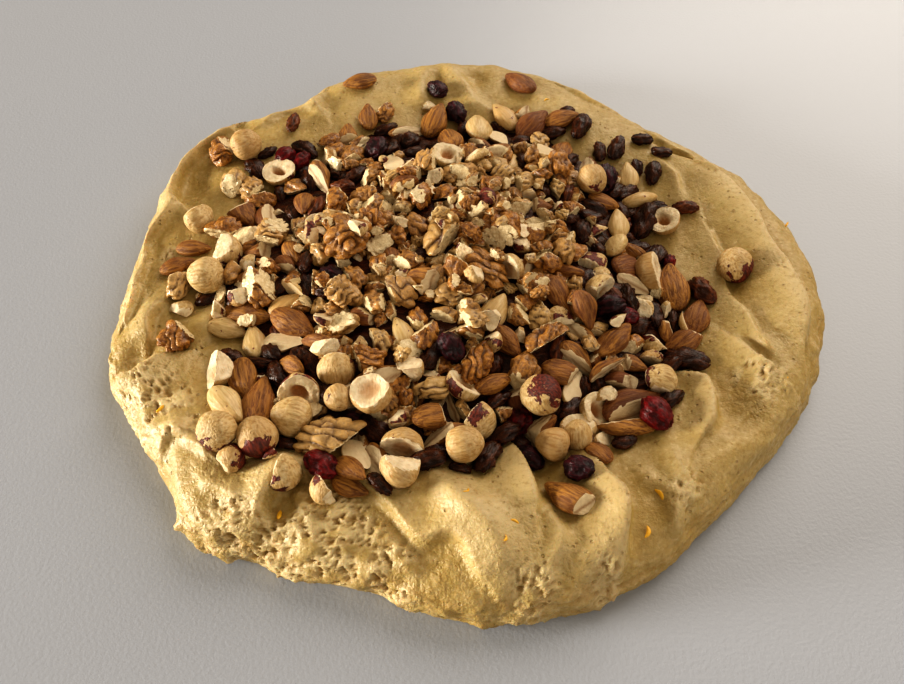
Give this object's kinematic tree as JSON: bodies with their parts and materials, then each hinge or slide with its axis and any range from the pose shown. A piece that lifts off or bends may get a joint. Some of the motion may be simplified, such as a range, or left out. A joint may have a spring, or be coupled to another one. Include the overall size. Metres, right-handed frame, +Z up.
{
  "type": "raw stollen dough with a heap of nuts and dried fruit",
  "caption": "Thick hand-pressed round of pale yeast dough with folds and torn edges, heaped with chopped nuts, whole nuts and dried fruit.",
  "frame": {"origin": "on the table, under the middle of the slab's bounding box", "axes": "+Z up from the table; +X to the right and -Y to the front, the side with the long finger-shaped folds"},
  "size_m": [0.2896, 0.2866, 0.0433],
  "materials": {
    "dough": "soft matt raw yeast dough, pale yellow, with pores and orange zest",
    "nut_and_fruit_heap": "mixed chopped nuts over dark dried fruit",
    "almond": "brown grooved skin, cream where cut",
    "hazelnut": "cream kernel with patches of dark red skin",
    "walnut": "folded light brown kernel, pale where broken",
    "raisin": "dark wrinkled skin, slightly glossy",
    "sultana": "amber brown wrinkled skin",
    "cherry": "dark red puckered skin, glossy"
  },
  "bodies": {
    "root": {"dough": "dough", "nut_and_fruit_heap": "nut_and_fruit_heap", "hazelnut_right": "hazelnut", "hazelnut_rear_left": "hazelnut", "sultana_right": "sultana", "sultana_rear_left": "sultana", "raisin_rear_right": "raisin", "raisin_rear_right_2": "raisin", "almond_rear": "almond", "almond_rear_left": "almond", "almond_front": "almond", "walnut_left": "walnut", "walnut_rear_left": "walnut", "cherry_rear": "cherry"}
  },
  "joints": []
}
